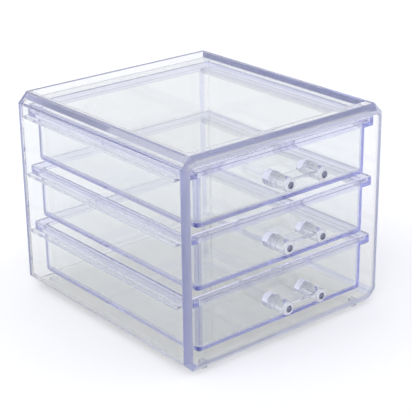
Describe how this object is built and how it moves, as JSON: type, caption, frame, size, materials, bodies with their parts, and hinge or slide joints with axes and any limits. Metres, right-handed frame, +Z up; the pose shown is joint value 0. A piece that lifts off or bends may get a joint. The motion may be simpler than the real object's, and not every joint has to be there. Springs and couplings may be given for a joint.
{
  "type": "desktop drawer organiser",
  "caption": "clear plastic desktop organiser with full-width drawers, H-shaped pulls, bevelled edges and a shallow tray on top",
  "frame": {"origin": "under the middle of the whole part's bounding box, at the plane that the feet stand on", "axes": "x across the front, y from the front to the back, z up"},
  "size_m": [0.155, 0.1774, 0.132],
  "materials": {
    "case_plastic": "clear polished plastic with a faint lavender tint in its thickness",
    "runner_plastic": "clear plastic strip",
    "drawer_plastic": "clear moulded plastic, slightly blue at its edges",
    "pull_plastic": "clear moulded plastic, polished"
  },
  "bodies": {
    "case": {"case_shell": "case_plastic", "back_panel": "case_plastic", "runner_left_bottom": "runner_plastic", "runner_left_middle": "runner_plastic", "runner_left_top": "runner_plastic", "runner_right_bottom": "runner_plastic", "runner_right_middle": "runner_plastic", "runner_right_top": "runner_plastic", "foot_front_left": "case_plastic", "foot_front_right": "case_plastic", "foot_back_left": "case_plastic", "foot_back_right": "case_plastic"},
    "bottom_drawer": {"drawer_bottom": "drawer_plastic", "pull_bottom": "pull_plastic"},
    "middle_drawer": {"drawer_middle": "drawer_plastic", "pull_middle": "pull_plastic"},
    "top_drawer": {"drawer_top": "drawer_plastic", "pull_top": "pull_plastic"}
  },
  "joints": [
    {"name": "bottom_drawer_slide", "type": "slide", "parent": "case", "child": "bottom_drawer", "axis": [0, -1, 0], "range_m": [0, 0.12]},
    {"name": "middle_drawer_slide", "type": "slide", "parent": "case", "child": "middle_drawer", "axis": [0, -1, 0], "range_m": [0, 0.12]},
    {"name": "top_drawer_slide", "type": "slide", "parent": "case", "child": "top_drawer", "axis": [0, -1, 0], "range_m": [0, 0.12]}
  ]
}
